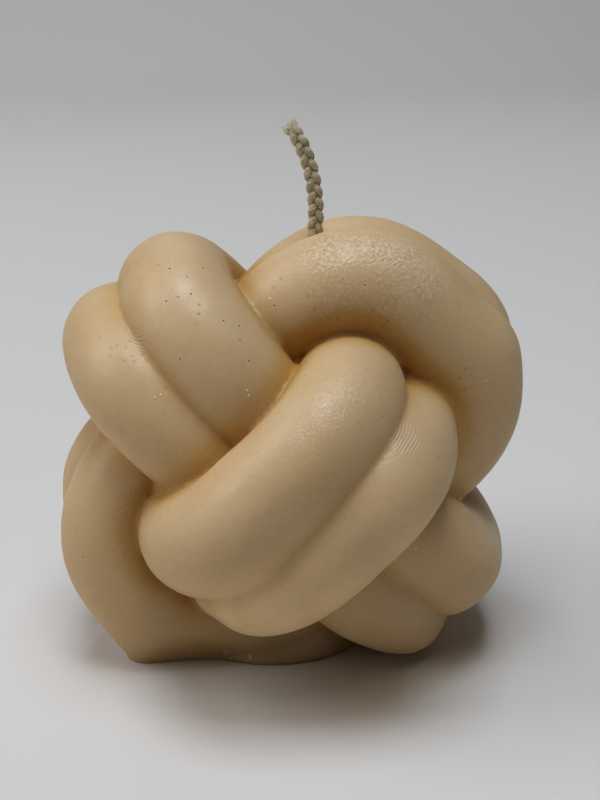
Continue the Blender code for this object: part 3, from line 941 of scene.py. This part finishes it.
def sown(plan, yarn, chosen, seed, length, radius, density, forwards):
    """Curved fibres sown on the chosen faces of a yarn, which lean forwards along it."""
    bent = {0: 4, 1: (0.0, 0.0, -0.1), 2: (0.0, 0.0, 0.55), 3: (0.35, 0.0, 0.95)}
    line = plan.node("GeometryNodeCurveQuadraticBezier", None, bent)
    section = plan.node(
        "GeometryNodeCurvePrimitiveCircle", {"mode": "RADIUS"}, {"Resolution": 3, "Radius": radius / length}
    )
    fibre = plan.node("GeometryNodeCurveToMesh", None, {0: line, 1: section, "Fill Caps": True})
    density = density / (MILLIMETRE * MILLIMETRE)
    sockets = {"Mesh": yarn, "Selection": chosen, "Density": density, "Seed": seed}
    points = plan.node("GeometryNodeDistributePointsOnFaces", {"distribute_method": "RANDOM"}, sockets)
    along = kept(plan, "along", "FLOAT_VECTOR")
    stray = {0: (-0.7, -0.7, -0.7), 1: (0.7, 0.7, 0.7), "Seed": seed}
    stray = plan.node("FunctionNodeRandomValue", {"data_type": "FLOAT_VECTOR"}, stray)
    ahead = points.other(1) + along * forwards + stray
    turned = plan.node("FunctionNodeAlignRotationToVector", {"axis": "Z"}, {"Vector": ahead})
    share = plan.node("FunctionNodeRandomValue", {"data_type": "FLOAT"}, {2: 0.4, 3: 1.0, "Seed": seed}, 1)
    sockets = {"Points": points, "Instance": fibre, "Rotation": turned, "Scale": share * length}
    return plan.node("GeometryNodeInstanceOnPoints", None, sockets)


def wick_tree(sizes, finish):
    """The tree of one strand: a yarn of twisted plies along its line, with stray fibres and a frayed end."""
    tree = shape_tree("plaited_strand", sizes, [("Strand", "NodeSocketFloat")])
    plan = Plan(tree)
    size = size_values(plan, sizes)
    number = plan.node("NodeGroupInput", output="Strand")
    line, over, walked = strand_line(plan, size, number)
    line = stored(plan, line, "over", over / MILLIMETRE)
    line = stored(plan, line, "walked", walked / MILLIMETRE)
    curve = plan.node("GeometryNodeMeshToCurve", None, {0: line})
    curve = stored(plan, curve, "along", plan.node("GeometryNodeInputTangent"))
    twist = kept(plan, "walked") * (2 * math.pi * MILLIMETRE) / size["ply_pitch"]
    curve = plan.node("GeometryNodeSetCurveTilt", None, {0: curve, 2: twist})
    yarn = plan.node(
        "GeometryNodeCurveToMesh", None, {0: curve, 1: yarn_profile(plan, size), "Fill Caps": True}
    )
    yarn = plan.node("GeometryNodeSetShadeSmooth", None, {0: yarn, 2: True})
    over = kept(plan, "over")
    tip = plan.maths("GREATER_THAN", over, size["stub_length"] / MILLIMETRE - 0.3)
    bare = plan.maths("GREATER_THAN", over, 0.3)
    fibre = (size["fibre_length"], size["fibre_radius"], size["fibre_density"])
    frayed = (size["tuft_length"], size["tuft_radius"], size["tuft_density"])
    fuzz = sown(plan, yarn, bare, number, *fibre, forwards=0.5)
    tuft = sown(plan, yarn, tip, number + 7.0, *frayed, forwards=2.2)
    yarn = plan.joined(yarn, fuzz, tuft)
    yarn = plan.node("GeometryNodeRealizeInstances", None, {0: yarn})
    yarn = plan.node("GeometryNodeSetMaterial", None, {0: yarn, 2: finish})
    plan.node("NodeGroupOutput", None, {0: yarn})
    return tree


def wick_cotton(look):
    """Waxed cotton: soaked brown at the base, grey-beige above, pale and dry at the tip."""
    material, plan = shader_plan("wick_cotton")
    place = plan.node("ShaderNodeTexCoord", output="Object") * (1 / MILLIMETRE)
    over = plan.node("ShaderNodeAttribute", {"attribute_name": "over"}, output="Fac")
    mottle = plan.noise(place, 1.2, 3.0)
    tone = plan.mix(plan.ease(plan.noise(place, 0.7, 2.0), 0.4, 0.6), look.cotton, look.cotton_dull)
    tone = plan.mix(plan.ease(over + mottle * 2.0, 2.0, 6.5), look.cotton_base, tone)
    tone = plan.mix(plan.ease(plan.noise(place, 4.0, 2.0), 0.3, 0.7, 0.0, 0.4), tone, look.cotton_tip)
    tone = plan.mix(plan.ease(over, 19.3, 20.6), tone, look.cotton_tip)
    height = plan.noise(place, 5.0, 3.0) * 0.10
    bump = plan.node("ShaderNodeBump", None, {"Strength": 1.0, "Distance": MILLIMETRE, "Height": height})
    rough = plan.ease(mottle, 0.3, 0.7, 0.72, 0.9)
    finish_with(plan, {}, {"Base Color": tone, "Roughness": rough, "Normal": bump})
    return material


# Stage


def pale_paper(look):
    """Pale, matt paper, with painted light making it paler towards the back and up the sweep."""
    material, plan = shader_plan("pale_paper")
    place = plan.node("ShaderNodeTexCoord", output="Object")
    shade = plan.noise(place, 3.0, 2.0)
    _, depth, _ = plan.parts(place)
    # Painted light: the paper grows paler towards the back, in place of light on the backdrop
    tone = plan.mix(plan.ease(depth, 0.05, 0.9), look.floor, look.far_floor_painted_light)
    tone = plan.mix(plan.ease(shade, 0.3, 0.7, 0.0, 0.05), tone, (0.5, 0.5, 0.5))
    tone = plan.mix(plan.node("ShaderNodeLightPath"), look.bounce, tone)
    finish_with(plan, {}, {"Base Color": tone, "Roughness": plan.ease(shade, 0.0, 1.0, 0.6, 0.7)})
    return material


def paper_sweep(finish):
    """The paper: level under the candle, then rising in one curve behind it."""
    half_width, front, back, radius, top, steps = 3.0, -3.0, 0.75, 0.5, 1.8, 24
    profile = [(front, 0.0), (-0.3, 0.0), (0.3, 0.0)]
    for step in range(steps + 1):
        turn = 0.5 * math.pi * step / steps
        profile.append((back + radius * math.sin(turn), radius * (1 - math.cos(turn))))
    profile.append((back + radius, top))
    points = [(side * half_width, y, z) for y, z in profile for side in (-1, 1)]
    faces = [(2 * row, 2 * row + 1, 2 * row + 3, 2 * row + 2) for row in range(len(profile) - 1)]
    mesh = bpy.data.meshes.new("paper_sweep")
    mesh.from_pydata(points, [], faces)
    mesh.shade_smooth()
    mesh.materials.append(finish)
    return placed("paper_sweep", mesh)


# Camera: sensor and lens in millimetres, place in metres, turns in degrees
SENSOR_WIDTH = 36.0
LENS_LENGTH = 90.0
CAMERA_PLACE = (-0.01875, -0.24714, 0.12815)
CAMERA_HEADING = -4.887
CAMERA_DROP = 18.804
CAMERA_ROLL = -0.51

# Height that the lamps are aimed at
LAMP_AIM = 0.035

# Tints of the lamps
COOL_LIGHT = (0.91, 0.965, 1.0)
PLAIN_LIGHT = (1.0, 0.98, 0.95)
WARM_LIGHT = (1.0, 0.84, 0.60)

# Lamps: name, group, place, width, strength and tint. The strengths started from a fit by a
# separate program and were then set by hand.
LAMPS = (
    ("top_lamp", "key", (-0.02, -0.09, 0.99), 0.45, 5.6, COOL_LIGHT),
    ("front_lamp", "key", (0.04, -0.42, 0.9), 0.3, 1.0, WARM_LIGHT),
    ("left_lamp", "fill", (-0.75, 0.0, 0.75), 0.6, 3.3, PLAIN_LIGHT),
    ("low_lamp", "fill", (-1.3, -0.12, 0.5), 0.4, 1.6, WARM_LIGHT),
    ("back_lamp", "fill", (0.0, 0.8, 0.8), 0.6, 0.35, COOL_LIGHT),
)


def hang_lamp(name, place, width, power, tint):
    """A square lamp that faces the candle."""
    lamp = bpy.data.lights.new(name, "AREA")
    lamp.color = tint
    lamp.size = width
    lamp.energy = power
    item = placed(name, lamp)
    item.location = place
    aim = Vector((0.0, 0.0, LAMP_AIM)) - Vector(place)
    item.rotation_euler = aim.to_track_quat("-Z", "Y").to_euler()
    item.visible_camera = False


def set_surround(look):
    """Faint light from all round, which the camera and clear things see as the same pale ground."""
    world = bpy.data.worlds.new("surround")
    world.use_nodes = True
    world.node_tree.nodes.clear()
    plan = Plan(world.node_tree)
    ray = plan.node("ShaderNodeLightPath")
    seen = plan.maths("MAXIMUM", ray, ray.other("Is Glossy Ray"))
    seen = plan.maths("MAXIMUM", seen, ray.other("Is Transmission Ray"))
    light = plan.node("ShaderNodeBackground", None, {"Color": (0.97, 0.98, 1.0), "Strength": look.surround})
    ground = plan.node("ShaderNodeBackground", None, {"Color": look.backdrop, "Strength": 1.0})
    both = plan.node("ShaderNodeMixShader", None, {0: seen, 1: light, 2: ground})
    plan.node("ShaderNodeOutputWorld", None, {0: both})
    bpy.context.scene.world = world


def set_camera():
    """The camera, at the place and heading that a fit to the photograph's outline gave."""
    camera = bpy.data.cameras.new("camera")
    camera.sensor_width = SENSOR_WIDTH
    camera.sensor_fit = "HORIZONTAL"
    camera.lens = LENS_LENGTH
    camera.clip_start, camera.clip_end = 0.01, 20.0
    item = placed("camera", camera)
    item.location = CAMERA_PLACE
    heading = Matrix.Rotation(math.radians(CAMERA_HEADING), 3, "Z")
    pitch = Matrix.Rotation(math.radians(90.0 - CAMERA_DROP), 3, "X")
    roll = Matrix.Rotation(math.radians(CAMERA_ROLL), 3, "Z")
    item.rotation_euler = (heading @ pitch @ roll).to_euler()
    bpy.context.scene.camera = item


# Operators


class CastKnot(Operator):
    """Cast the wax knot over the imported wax"""

    bl_idname = "knot_candle.cast_knot"
    bl_label = "Cast Knot"
    bl_options = {"REGISTER", "UNDO"}

    def execute(self, context):
        sizes = context.scene.knot_candle_knot
        low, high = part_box("wax_knot")
        margin = Vector((1.0, 1.0, 1.0)) * 2 * sizes.grid
        values = named_values(sizes)
        values["Low corner"] = tuple(low - margin)
        values["High corner"] = tuple(high + margin)
        finish = cream_wax(context.scene.knot_candle_finish)
        wax = baked("wax", casting_tree(sizes, finish), values)
        if not wax.data.polygons:
            raise RuntimeError("the casting tree made no skin")
        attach(wax, "root")
        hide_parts("wax_knot")
        return {"FINISHED"}


class PlaitWick(Operator):
    """Plait the wick's three strands along its route"""

    bl_idname = "knot_candle.plait_wick"
    bl_label = "Plait Wick"
    bl_options = {"REGISTER", "UNDO"}

    def execute(self, context):
        sizes = context.scene.knot_candle_wick
        tree = wick_tree(sizes, wick_cotton(context.scene.knot_candle_finish))
        for number in range(WICK_STRANDS):
            values = named_values(sizes)
            values["Strand"] = float(number)
            yarn = baked(f"wick_yarn_{number + 1}", tree, values)
            if not yarn.data.polygons:
                raise RuntimeError("the wick tree made no yarn")
            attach(yarn, "root")
            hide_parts(f"wick_strand_{number + 1}")
        return {"FINISHED"}


class SetStage(Operator):
    """Set up the paper, the lamps and the camera"""

    bl_idname = "knot_candle.set_stage"
    bl_label = "Set Stage"
    bl_options = {"REGISTER", "UNDO"}

    def execute(self, context):
        look = context.scene.knot_candle_stage
        paper_sweep(pale_paper(look))
        for name, strength, place, width, power, tint in LAMPS:
            hang_lamp(name, place, width, power * getattr(look, strength), tint)
        set_surround(look)
        set_camera()
        context.scene.view_settings.view_transform = "Standard"
        return {"FINISHED"}


class KnotCandlePanel(Panel):
    """Sizes, colours and steps of the knot candle"""

    bl_idname = "VIEW3D_PT_knot_candle"
    bl_label = "Knot Candle"
    bl_space_type = "VIEW_3D"
    bl_region_type = "UI"
    bl_category = "Knot Candle"

    def draw(self, context):
        for step, group in STEPS:
            box = self.layout.box()
            box.operator(step.bl_idname)
            sizes = getattr(context.scene, group)
            for item in own_properties(sizes):
                box.prop(sizes, item.identifier)
        box = self.layout.box()
        for item in own_properties(context.scene.knot_candle_finish):
            box.prop(context.scene.knot_candle_finish, item.identifier)


STEPS = (
    (CastKnot, "knot_candle_knot"),
    (PlaitWick, "knot_candle_wick"),
    (SetStage, "knot_candle_stage"),
)
GROUPS = {
    "knot_candle_knot": KnotSizes,
    "knot_candle_wick": WickSizes,
    "knot_candle_finish": CandleFinish,
    "knot_candle_stage": StageLook,
}
CLASSES = (*GROUPS.values(), CastKnot, PlaitWick, SetStage, KnotCandlePanel)


def register():
    for item in CLASSES:
        bpy.utils.register_class(item)
    for name, group in GROUPS.items():
        setattr(bpy.types.Scene, name, PointerProperty(type=group))


def unregister():
    for name in GROUPS:
        delattr(bpy.types.Scene, name)
    for item in reversed(CLASSES):
        bpy.utils.unregister_class(item)


def main():
    register()
    bpy.ops.knot_candle.set_stage()
    bpy.ops.knot_candle.cast_knot()
    bpy.ops.knot_candle.plait_wick()


if __name__ == "__main__":
    main()
